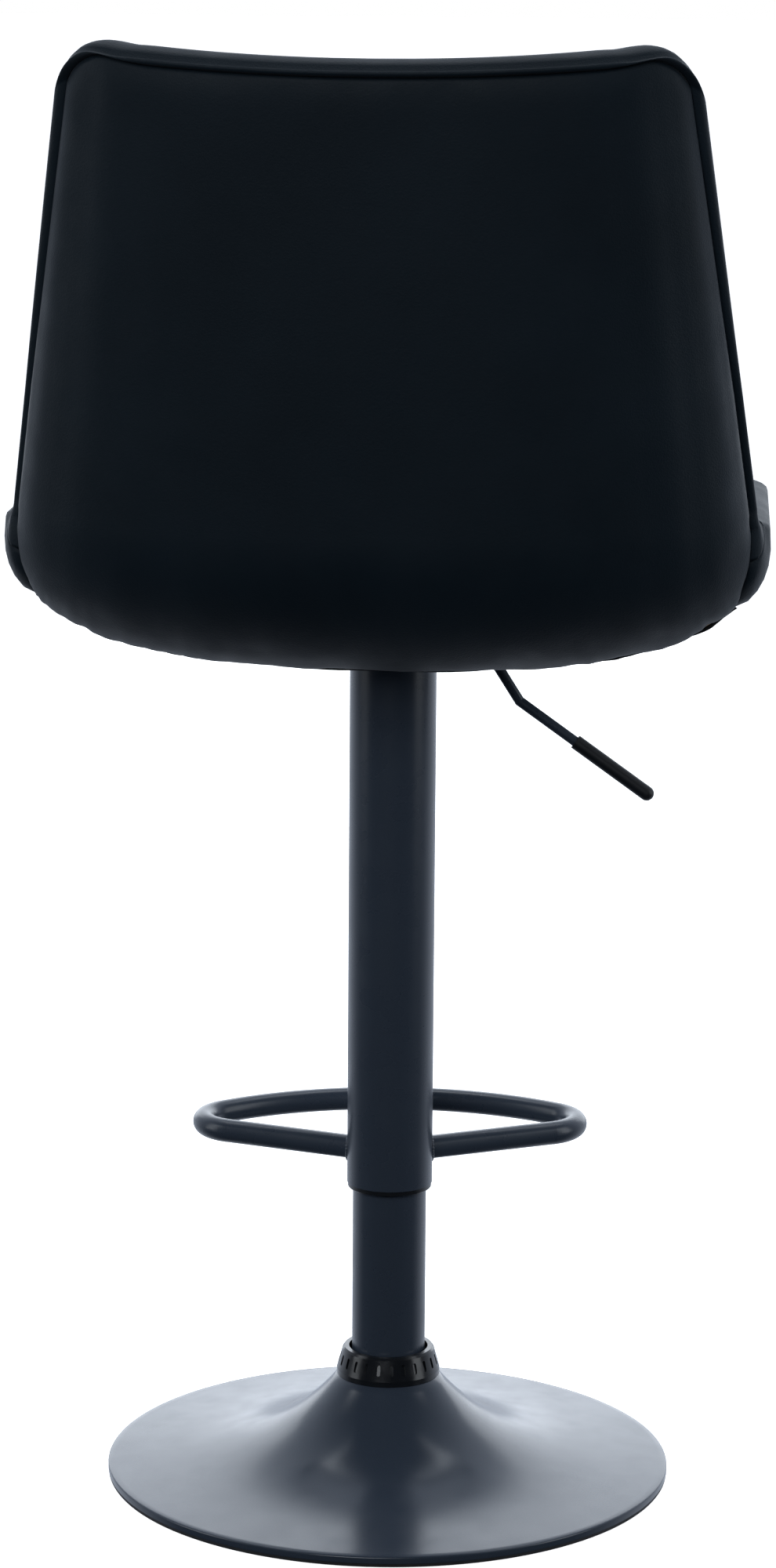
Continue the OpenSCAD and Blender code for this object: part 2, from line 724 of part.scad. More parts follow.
module back_pad() {
    color([0.08, 0.11, 0.14]) cushion(back_pad_stations, back_pad_t);
}

// ---------------------------------------------------------------- height lever and valve pin

module lever_rocker() {
    color([0.3, 0.3, 0.32]) difference() {
        union() {
            block(rocker_near_x, rocker_far_x, rocker_half_w,
                lever_z - rocker_half_h, lever_z + rocker_half_h);
            block(-tongue_reach, rocker_near_x + 1, tongue_half_w, tongue_z, tongue_z + tongue_t);
        }
        translate([pivot_x, 0, lever_z]) rotate([90, 0, 0])
            cylinder(h = 3 * rocker_half_w, r = pivot_r + running_fit, center = true);
        rod_along(rocker_far_x - socket_deep, lever_z, 0, socket_deep + 1, lever_rod_r);
    }
}

lever_knee = [lever_bend_x + lever_steep_run * cos(lever_steep),
    lever_z - lever_steep_run * sin(lever_steep)];
lever_grip_start = [lever_knee[0] + lever_shallow_run * cos(lever_shallow),
    lever_knee[1] - lever_shallow_run * sin(lever_shallow)];

module lever_rod() {
    color([0.14, 0.15, 0.17]) union() {
        rod_along(rocker_far_x - socket_deep, lever_z, 0,
            lever_bend_x - rocker_far_x + socket_deep, lever_rod_r);
        translate([lever_bend_x, 0, lever_z]) sphere(r = lever_rod_r + bend_swell);
        rod_along(lever_bend_x, lever_z, -lever_steep, lever_steep_run, lever_rod_r);
        translate([lever_knee[0], 0, lever_knee[1]]) sphere(r = lever_rod_r + bend_swell);
        rod_along(lever_knee[0], lever_knee[1], -lever_shallow,
            lever_shallow_run + lever_grip_len / 2, lever_rod_r);
    }
}

module lever_grip() {
    color([0.06, 0.06, 0.07]) translate([lever_grip_start[0], 0, lever_grip_start[1]])
        rotate([0, 90 + lever_shallow, 0]) difference() {
            union() {
                cylinder(h = lever_grip_len - lever_grip_r, r = lever_grip_r);
                translate([0, 0, lever_grip_len - lever_grip_r]) sphere(r = lever_grip_r);
            }
            translate([0, 0, -1]) cylinder(h = lever_grip_len / 2 + 1, r = lever_rod_r);
        }
}

module valve_pin() {
    bottom_z = cylinder_top_z - cylinder_roof - valve_h + 4;
    color([0.7, 0.7, 0.72]) translate([0, 0, bottom_z])
        cylinder(h = pin_top_z - bottom_z, r = pin_r);
}

floor_ring();
base_shell();
base_ballast();
base_hub();
base_collar();
stand_tube();
tube_end_disc();
lower_bearing_washer();
guide_bush();
ball_cage();
bearing_balls();
upper_bearing_washer();
piston_rod();
rod_clip();
rubber_bumper();
piston();
piston_seal();
gas_cylinder();
cylinder_gland();
valve_body();
outer_sleeve();
sleeve_guide_ring();
sleeve_cap();
footrest();
head_hub();
seat_plate();
pivot_pin();
seat_bolts();
bolt_washers();
tee_nuts();
seat_shell();
outer_cover();
seat_pad();
back_pad();
lever_rocker();
lever_rod();
lever_grip();
valve_pin();
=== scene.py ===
"""Looks of a gas-lift bar stool: bucket seat, telescopic column, trumpet base and loop footrest."""
import logging
import math
from dataclasses import dataclass, field
from enum import Enum
from typing import Callable, Iterable, Optional, Sequence

import bmesh
import bpy
from mathutils import Matrix, Vector, noise


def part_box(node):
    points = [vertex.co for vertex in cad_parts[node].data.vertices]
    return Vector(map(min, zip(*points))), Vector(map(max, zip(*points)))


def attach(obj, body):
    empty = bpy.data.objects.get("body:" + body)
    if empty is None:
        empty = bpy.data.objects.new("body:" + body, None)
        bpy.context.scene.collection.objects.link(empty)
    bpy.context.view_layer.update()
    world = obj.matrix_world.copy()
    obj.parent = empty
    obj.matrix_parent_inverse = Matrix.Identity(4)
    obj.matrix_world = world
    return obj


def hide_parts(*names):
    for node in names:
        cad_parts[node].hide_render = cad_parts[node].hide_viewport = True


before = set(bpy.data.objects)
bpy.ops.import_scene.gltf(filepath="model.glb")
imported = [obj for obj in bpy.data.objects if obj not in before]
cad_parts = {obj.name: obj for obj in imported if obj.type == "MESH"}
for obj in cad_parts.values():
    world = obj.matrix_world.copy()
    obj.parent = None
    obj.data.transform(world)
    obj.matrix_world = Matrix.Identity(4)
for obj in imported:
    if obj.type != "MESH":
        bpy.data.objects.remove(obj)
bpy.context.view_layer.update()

LOG = logging.getLogger("bar_stool")
FLECK = 0.0004
Point = tuple[float, float, float]


class Body(Enum):
    """The moving bodies that a piece can ride on."""

    BASE = "base"
    SEAT = "seat"


class Slot(Enum):
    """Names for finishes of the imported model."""

    POWDER_COAT = "powder_coat"
    COVER_LEATHER = "cover_leather"
    SEAT_LEATHER = "seat_leather"


class Edge(Enum):
    """How the edge of a cushion ends."""

    WRAPPED = "wrapped"
    TUCKED = "tucked"


# ---------------------------------------------------------------- finishes


class NodeBench:
    """Lays out the nodes of one material."""

    def __init__(self, name: str) -> None:
        """Starts an empty material with a surface shader.

        Args:
            name: The material's name.
        """
        self.material = bpy.data.materials.new(name)
        self.material.use_nodes = True
        self.tree = self.material.node_tree
        self.tree.nodes.clear()
        output = self.tree.nodes.new("ShaderNodeOutputMaterial")
        self.surface = self.tree.nodes.new("ShaderNodeBsdfPrincipled")
        self.tree.links.new(self.surface.outputs["BSDF"], output.inputs["Surface"])
        self.place = self.tree.nodes.new("ShaderNodeTexCoord").outputs["Object"]

    def set(self, **values: object) -> None:
        """Sets the shader's own sockets; an underscore in a name stands for a space."""
        for name, value in values.items():
            self.surface.inputs[name.replace("_", " ")].default_value = value

    def link(self, source: bpy.types.NodeSocket, name: str) -> None:
        """Feeds one socket of the shader."""
        self.tree.links.new(source, self.surface.inputs[name])

    def node(self, kind: str, **inputs: object) -> bpy.types.Node:
        """Adds a node.

        Args:
            kind: The node's type.
            inputs: Values or sockets for its inputs; an underscore stands for a space.

        Returns:
            The new node.
        """
        made = self.tree.nodes.new(kind)
        for name, value in inputs.items():
            socket = made.inputs[name.replace("_", " ")]
            if isinstance(value, bpy.types.NodeSocket):
                self.tree.links.new(value, socket)
            else:
                socket.default_value = value
        return made

    def stretched(self, scale: Point) -> bpy.types.NodeSocket:
        """The place on the piece, stretched along its axes."""
        made = self.node("ShaderNodeMapping", Vector=self.place)
        made.inputs["Scale"].default_value = scale
        return made.outputs["Vector"]

    def mottle(self, size: float, detail: float = 2.0,
               place: Optional[bpy.types.NodeSocket] = None) -> bpy.types.NodeSocket:
        """Soft random patches.

        Args:
            size: The patches' size in metres.
            detail: How many finer layers they hold.
            place: Where to read them, or None for the place on the piece.

        Returns:
            A socket from 0 to 1.
        """
        made = self.node("ShaderNodeTexNoise", Vector=place or self.place,
                         Scale=1.0 / size, Detail=detail)
        return made.outputs[0]

    def cells(self, size: float) -> bpy.types.NodeSocket:
        """Rounded cells of a size in metres, 0 in a cell's middle."""
        made = self.node("ShaderNodeTexVoronoi", Vector=self.place, Scale=1.0 / size)
        return made.outputs["Distance"]

    def spread(self, source: bpy.types.NodeSocket, low: float, high: float,
               start: float = 0.3, end: float = 0.7) -> bpy.types.NodeSocket:
        """Maps start..end of a pattern to low..high."""
        made = self.node("ShaderNodeMapRange", Value=source)
        for name, value in (("From Min", start), ("From Max", end),
                            ("To Min", low), ("To Max", high)):
            made.inputs[name].default_value = value
        return made.outputs["Result"]

    def sum(self, first: bpy.types.NodeSocket, second: bpy.types.NodeSocket,
            share: float) -> bpy.types.NodeSocket:
        """First plus a share of second."""
        made = self.tree.nodes.new("ShaderNodeMath")
        made.operation = "MULTIPLY_ADD"
        self.tree.links.new(second, made.inputs[0])
        made.inputs[1].default_value = share
        self.tree.links.new(first, made.inputs[2])
        return made.outputs[0]

    def tint(self, share: bpy.types.NodeSocket, low: Point, high: Point,
             start: float = 0.3, end: float = 0.7) -> bpy.types.NodeSocket:
        """A colour that runs from low to high with a pattern."""
        made = self.node("ShaderNodeValToRGB", Fac=share)
        stops = made.color_ramp.elements
        stops[0].position, stops[1].position = start, end
        stops[0].color, stops[1].color = (*low, 1.0), (*high, 1.0)
        return made.outputs["Color"]

    def relief(self, height: bpy.types.NodeSocket, depth: float, strength: float = 1.0) -> None:
        """Presses a pattern into the surface.

        Args:
            height: The pattern.
            depth: Its depth in metres.
            strength: How strongly it shows.
        """
        bump = self.node("ShaderNodeBump", Height=height, Distance=depth, Strength=strength)
        self.link(bump.outputs["Normal"], "Normal")


@dataclass(frozen=True)
class Leather:
    """Soft coated leather with a fine pebble grain."""

    name: str = "seat leather"
    dark: Point = (0.0054, 0.0112, 0.0172)
    light: Point = (0.0078, 0.0150, 0.0225)
    grain: float = 0.0013
    roughness: float = 0.58

    def make(self) -> bpy.types.Material:
        """Builds the material."""
        bench = NodeBench(self.name)
        bench.link(bench.tint(bench.mottle(0.09, 4.0), self.dark, self.light), "Base Color")
        crease = bench.mottle(0.012, 5.0)
        pebble = bench.sum(bench.cells(self.grain), bench.cells(self.grain * 0.55), 0.5)
        bench.relief(bench.sum(pebble, crease, 0.8), 0.00016, 0.55)
        bench.link(bench.spread(bench.mottle(0.03, 3.0), self.roughness - 0.05,
                                self.roughness + 0.05), "Roughness")
        bench.set(IOR=1.35, Specular_IOR_Level=0.32, Sheen_Weight=0.02, Sheen_Roughness=0.4)
        return bench.material


@dataclass(frozen=True)
class Lining:
    """Black non-woven cloth under the seat."""

    name: str = "underside lining"
    fibre: float = 0.0006

    def make(self) -> bpy.types.Material:
        """Builds the material."""
        bench = NodeBench(self.name)
        along = bench.mottle(self.fibre * 3, 3.0, bench.stretched((1.0, 0.25, 1.0)))
        over = bench.mottle(self.fibre * 3, 3.0, bench.stretched((0.25, 1.0, 1.0)))
        felt = bench.sum(along, over, 1.0)
        bench.link(bench.tint(felt, (0.004, 0.004, 0.005), (0.012, 0.013, 0.015), 0.7, 1.3),
                   "Base Color")
        bench.relief(felt, 0.0002, 0.8)
        bench.link(bench.spread(felt, 0.85, 0.98, 0.7, 1.3), "Roughness")
        return bench.material


@dataclass(frozen=True)
class PowderCoat:
    """Baked satin paint with a slight orange peel."""

    name: str = "powder coat"
    colour: Point = (0.034, 0.045, 0.064)
    roughness: float = 0.28
    peel: float = 0.0009

    def make(self) -> bpy.types.Material:
        """Builds the material."""
        bench = NodeBench(self.name)
        lighter = tuple(c * 1.25 for c in self.colour)
        bench.link(bench.tint(bench.mottle(FLECK, 1.0), self.colour, lighter), "Base Color")
        bench.relief(bench.sum(bench.mottle(self.peel, 2.0), bench.mottle(0.0003, 1.0), 0.3),
                     0.00002, 0.3)
        bench.link(bench.spread(bench.mottle(0.02, 4.0), self.roughness - 0.03,
                                self.roughness + 0.04), "Roughness")
        bench.set(IOR=1.5)
        return bench.material


@dataclass(frozen=True)
class MouldedPlastic:
    """Injection-moulded plastic with a fine spark texture."""

    name: str = "black plastic"
    colour: Point = (0.008, 0.009, 0.011)
    roughness: float = 0.3
    texture: float = 0.0004

    def make(self) -> bpy.types.Material:
        """Builds the material."""
        bench = NodeBench(self.name)
        bench.link(bench.tint(bench.mottle(0.015, 3.0), self.colour,
                              tuple(c * 1.3 for c in self.colour)), "Base Color")
        bench.relief(bench.mottle(self.texture, 2.0), 0.00002, 0.4)
        bench.link(bench.spread(bench.mottle(0.008, 3.0), self.roughness - 0.04,
                                self.roughness + 0.06), "Roughness")
        bench.set(IOR=1.49)
        return bench.material


@dataclass(frozen=True)
class Metal:
    """Bare metal with the marks of its tool running round it."""

    name: str = "plain steel"
    colour: Point = (0.42, 0.43, 0.45)
    roughness: float = 0.34
    mark: float = 0.0006

    def make(self) -> bpy.types.Material:
        """Builds the material."""
        bench = NodeBench(self.name)
        turned = bench.mottle(self.mark, 2.0, bench.stretched((0.05, 0.05, 1.0)))
        dull = tuple(c * 0.72 for c in self.colour)
        bench.link(bench.tint(bench.mottle(0.012, 5.0), dull, self.colour, 0.35, 0.6),
                   "Base Color")
        bench.relief(turned, 0.00002, 0.6)
        bench.link(bench.spread(turned, self.roughness - 0.08, self.roughness + 0.1),
                   "Roughness")
        bench.set(Metallic=1.0)
        return bench.material


@dataclass(frozen=True)
class Rubber:
    """Dull black rubber with a dusty bloom."""

    name: str = "rubber"
    colour: Point = (0.012, 0.012, 0.013)

    def make(self) -> bpy.types.Material:
        """Builds the material."""
        bench = NodeBench(self.name)
        bench.link(bench.tint(bench.mottle(0.01, 5.0), self.colour,
                              tuple(c * 2.0 for c in self.colour)), "Base Color")
        bench.relief(bench.mottle(0.0005, 3.0), 0.00004, 0.5)
        bench.link(bench.spread(bench.mottle(0.004, 3.0), 0.62, 0.82), "Roughness")
        return bench.material


@dataclass(frozen=True)
class Plywood:
    """Beech veneer with grain along one axis."""

    name: str = "plywood"

    def make(self) -> bpy.types.Material:
        """Builds the material."""
        bench = NodeBench(self.name)
        grain = bench.mottle(0.004, 5.0, bench.stretched((1.0, 0.06, 0.06)))
        bench.link(bench.tint(grain, (0.30, 0.17, 0.08), (0.52, 0.35, 0.19)), "Base Color")
        bench.relief(grain, 0.0001, 0.4)
        bench.link(bench.spread(grain, 0.5, 0.66), "Roughness")
        return bench.material


class Paintshop:
    """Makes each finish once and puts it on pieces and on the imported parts."""

    def __init__(self) -> None:
        """Starts with nothing mixed."""
        self.mixed: dict[str, bpy.types.Material] = {}

    def mix(self, finish: object) -> bpy.types.Material:
        """The material of a finish, made the first time it is asked for."""
        if finish.name not in self.mixed:
            self.mixed[finish.name] = finish.make()
        return self.mixed[finish.name]

    def coat(self, piece: bpy.types.Object, finish: object) -> None:
        """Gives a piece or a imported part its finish.

        Args:
            piece: The object to coat.
            finish: One of the finish classes' objects.
        """
        material = self.mix(finish)
        if not piece.material_slots:
            piece.data.materials.append(material)
        for slot in piece.material_slots:
            slot.material = material


# ---------------------------------------------------------------- making meshes


class Workshop:
    """Modelling steps shared by all sub-assemblies."""

    @staticmethod
    def clear_selection() -> None:
        """Leaves nothing selected, in object mode."""
        if bpy.context.mode != "OBJECT":
            bpy.ops.object.mode_set(mode="OBJECT")
        bpy.ops.object.select_all(action="DESELECT")

    @classmethod
    def pick(cls, piece: bpy.types.Object) -> None:
        """Selects one piece alone and makes it active."""
        cls.clear_selection()
        piece.select_set(True)
        bpy.context.view_layer.objects.active = piece

    @classmethod
    def settle(cls, piece: bpy.types.Object) -> None:
        """Moves a piece's place into its mesh."""
        cls.pick(piece)
        bpy.ops.object.transform_apply(location=True, rotation=True, scale=True)

    @classmethod
    def apply_all(cls, piece: bpy.types.Object) -> None:
        """Applies a piece's modifiers in order."""
        cls.pick(piece)
        for modifier in list(piece.modifiers):
            bpy.ops.object.modifier_apply(modifier=modifier.name)

    @classmethod
    def smooth(cls, piece: bpy.types.Object, angle: float = 40.0) -> None:
        """Shades a piece smooth except at edges sharper than an angle in degrees."""
        cls.pick(piece)
        bpy.ops.object.shade_smooth_by_angle(angle=math.radians(angle))

    @classmethod
    def turned(cls, name: str, profile: Sequence[tuple[float, float]],
               steps: int) -> bpy.types.Object:
        """Raises a round piece by extruding a ring from one profile point to the next.

        Args:
            name: The piece's name.
            profile: Radius and height of each ring, in metres.
            steps: Sides of the ring.

        Returns:
            The piece, with its place in its mesh.
        """
        cls.clear_selection()
        radius, height = profile[0]
        bpy.ops.mesh.primitive_circle_add(vertices=steps, radius=radius,
                                          location=(0.0, 0.0, height), fill_type="NOTHING")
        piece = bpy.context.active_object
        piece.name = name
        cls.settle(piece)
        bpy.ops.object.mode_set(mode="EDIT")
        bpy.ops.mesh.select_all(action="SELECT")
        for next_radius, next_height in profile[1:]:
            bpy.ops.mesh.extrude_region_move(
                TRANSFORM_OT_translate={"value": (0.0, 0.0, next_height - height)})
            ratio = next_radius / radius
            bpy.ops.transform.resize(value=(ratio, ratio, 1.0),
                                     center_override=(0.0, 0.0, next_height))
            radius, height = next_radius, next_height
        bpy.ops.mesh.select_all(action="DESELECT")
        bpy.ops.mesh.select_non_manifold()
        bpy.ops.mesh.bridge_edge_loops()
        bpy.ops.mesh.select_all(action="SELECT")
        bpy.ops.mesh.normals_make_consistent(inside=False)
        bpy.ops.object.mode_set(mode="OBJECT")
        return piece


class Skin:
    """Collects points and faces of one soft piece."""

    def __init__(self) -> None:
        """Starts empty."""
        self.points: list[Vector] = []
        self.faces: list[tuple[int, ...]] = []

    def row(self, points: Iterable[Vector]) -> list[int]:
        """Adds points and returns their numbers."""
        start = len(self.points)
        self.points.extend(points)
        return list(range(start, len(self.points)))

    def grid(self, rows: Sequence[Sequence[Vector]]) -> list[list[int]]:
        """Adds a net of points with its faces.

        Args:
            rows: Rows of equally many points.

        Returns:
            The points' numbers, row by row.
        """
        numbers = [self.row(points) for points in rows]
        for first, second in zip(numbers, numbers[1:]):
            self.bridge(first, second, closed=False)
        return numbers

    def bridge(self, first: Sequence[int], second: Sequence[int], closed: bool = True) -> None:
        """Joins two rows of equally many points with faces."""
        count = len(first)
        for i in range(count if closed else count - 1):
            j = (i + 1) % count
            self.faces.append((first[i], first[j], second[j], second[i]))

    def finish(self, name: str) -> bpy.types.Object:
        """Makes the piece, with its faces pointing outwards.

        Args:
            name: The piece's name.

        Returns:
            The new object, linked to the scene.
        """
        mesh = bpy.data.meshes.new(name)
        mesh.from_pydata([tuple(p) for p in self.points], [], self.faces)
        shape = bmesh.new()
        shape.from_mesh(mesh)
        bmesh.ops.remove_doubles(shape, verts=shape.verts, dist=1e-6)
        bmesh.ops.recalc_face_normals(shape, faces=shape.faces)
        shape.to_mesh(mesh)
        shape.free()
        piece = bpy.data.objects.new(name, mesh)
        bpy.context.scene.collection.objects.link(piece)
        for face in mesh.polygons:
            face.use_smooth = True
        return piece


def border(grid: Sequence[Sequence[int]]) -> list[int]:
    """The numbers round a net's edge, once round, starting at its first point."""
    rows, last = len(grid), len(grid[0]) - 1
    loop = [grid[i][0] for i in range(rows)]
    loop += [grid[-1][j] for j in range(1, last + 1)]
    loop += [grid[i][last] for i in range(rows - 2, -1, -1)]
    loop += [grid[0][j] for j in range(last - 1, 0, -1)]
    return loop


# ---------------------------------------------------------------- seat


def blend(a: float, b: float, q: float) -> float:
    """The value a share q of the way from a to b."""
    return a + (b - a) * q


def ease(q: float) -> float:
    """A soft step from 0 to 1."""
    q = min(1.0, max(0.0, q))
    return q * q * (3.0 - 2.0 * q)


def through(points: Sequence[tuple[float, float]], x: float) -> float:
    """Soft curve through a few points, flat beyond its ends."""
    if x <= points[0][0]:
        return points[0][1]
    for (x0, y0), (x1, y1) in zip(points, points[1:]):
        if x <= x1:
            return blend(y0, y1, (x - x0) / (x1 - x0))
    return points[-1][1]


@dataclass(frozen=True)
class Station:
    """A place along the bucket's middle line."""

    y: float
    z: float
    turn: float
    half_w: float
    depth: float
    share: float


@dataclass(frozen=True)
class BucketForm:
    """The bucket's outer surface, from the front edge under the seat to the top of the back.

    A place on it is a section, 0 to 1 over the front bend, to 2 along the flat, to 3 round the
    rear bend and to 4 up the back, and a share of its width, -1 to 1.
    """

    half_w: float = 0.2465
    depth: float = 0.100
    seat_z: float = 0.573
    rear_bend: float = 0.112
    front_bend: float = 0.112
    rear_y: float = 0.078
    front_y: float = 0.105
    rake: float = math.radians(6.2)
    front_turn: float = math.radians(70.0)
    side_slope: float = 0.138
    back_h: float = 0.3965
    back_top_half_w: float = 0.201
    side_crown: float = 0.0065
    corner_start: float = 0.151
    corner_drop: float = 0.052
    corner_power: float = 3.5
    cross_power: float = 2.76
    front_narrowing: float = 0.022
    front_drop: float = 0.024
    front_ease: float = 1.5
    back_depth: float = 0.062

    @property
    def rear_turn(self) -> float:
        """Angle that the rear bend turns through."""
        return math.pi / 2 - self.rake

    @property
    def top_z(self) -> float:
        """Height of the middle of the back's top edge."""
        return self.seat_z + self.back_h

    @property
    def foot_z(self) -> float:
        """Height where the back starts."""
        return self.seat_z + self.rear_bend * (1.0 - math.cos(self.rear_turn))

    @property
    def foot_half_w(self) -> float:
        """Half width where the back starts."""
        return self.back_top_half_w + self.side_slope * (
            self.top_z + self.side_crown - self.corner_drop - self.foot_z)

    def station(self, section: float) -> Station:
        """The station at a section from 0 to 4."""
        if section < 1.0:
            turn = self.front_turn * (1.0 - section)
            reach = math.tan(turn) / math.tan(self.front_turn)
            drop = blend(self.front_bend - self.depth, self.front_drop, reach ** self.front_ease)
            return Station(self.front_y + self.front_bend * math.sin(turn),
                           self.seat_z + self.front_bend * (1.0 - math.cos(turn)), -turn,
                           self.half_w - self.front_narrowing * reach * reach,
                           self.front_bend - drop / math.cos(turn), 0.0)
        if section < 2.0:
            return Station(blend(self.front_y, -self.rear_y, section - 1.0), self.seat_z, 0.0,
                           self.half_w, self.depth, 0.0)
        if section < 3.0:
            turn = self.rear_turn * (section - 2.0)
            return Station(-self.rear_y - self.rear_bend * math.sin(turn),
                           self.seat_z + self.rear_bend * (1.0 - math.cos(turn)), turn,
                           blend(self.half_w, self.foot_half_w, ease(section - 2.0)),
                           self.depth, 0.0)
        share = section - 3.0
        return Station(-self.rear_y - self.rear_bend * math.sin(self.rear_turn), self.foot_z,
                       self.rear_turn, self.foot_half_w,
                       blend(self.depth, self.back_depth, share), share)

    def top_edge(self, x: float) -> float:
        """Height of the back's top edge at a distance x from the middle."""
        corner = min(1.0, max(0.0, (abs(x) - self.corner_start)
                              / (self.back_top_half_w - self.corner_start)))
        crown = self.side_crown * min(1.0, (x / self.corner_start) ** 2)
        fall = 1.0 - (1.0 - corner ** self.corner_power) ** (1.0 / self.corner_power)
        return self.top_z + crown - self.corner_drop * fall

    def point(self, section: float, u: float, t: float, floor: float = -1.0) -> Vector:
        """A point of the bucket.

        Args:
            section: Place along the bucket, 0 to 4.
            u: Place across it, -1 to 1.
            t: Distance inward from the outer surface, in metres.
            floor: Height that the point doesn't go under.

        Returns:
            The point.
        """
        s = self.station(section)
        angle = math.pi / 2 * abs(u)
        across = math.copysign(math.sin(angle) ** (2.0 / self.cross_power), u)
        upward = 1.0 - max(0.0, math.cos(angle)) ** (2.0 / self.cross_power)
        climb = s.share * (self.top_edge(self.back_top_half_w * across) - self.foot_z)
        rise = t + (s.depth - t) * upward
        return Vector(((s.half_w - self.side_slope * climb - t) * across,
                       s.y - climb * math.tan(self.rake) + rise * math.sin(s.turn),
                       max(floor, s.z + climb + rise * math.cos(s.turn) * (1.0 - s.share))))

    def top_section(self, share: float, seam: float, roll: float) -> float:
        """The section just under the top edge, at a share of the half width.

        Args:
            share: Place across the back, 0 in the middle and 1 at the side.
            seam: Distance under the edge at the corners, in metres.
            roll: Further distance under it in the middle, in metres.

        Returns:
            The section.
        """
        gap = seam + roll * (1.0 - ease((abs(share) - 0.5) / 0.25))
        return 4.0 - gap / (self.top_z - self.foot_z)

    def inset_u(self, section: float, distance: float) -> float:
        """The place across the bucket that lies a distance below its rim."""
        share = distance / self.station(min(section, 4.0)).depth
        return 1.0 - 2.0 / math.pi * share ** (self.cross_power / 2.0)


SEAM = ((0.55, 0.60), (1.0, 0.62), (1.7, 0.66), (2.0, 0.69), (2.18, 0.72), (2.36, 0.78),
        (2.54, 0.87), (2.72, 0.945), (3.0, 0.965), (3.3, 0.955), (3.5, 0.92), (4.0, 0.86))


def seam_u(section: float) -> float:
    """Where the rear cover's side seam runs across the bucket at a section."""
    return through(SEAM, section)


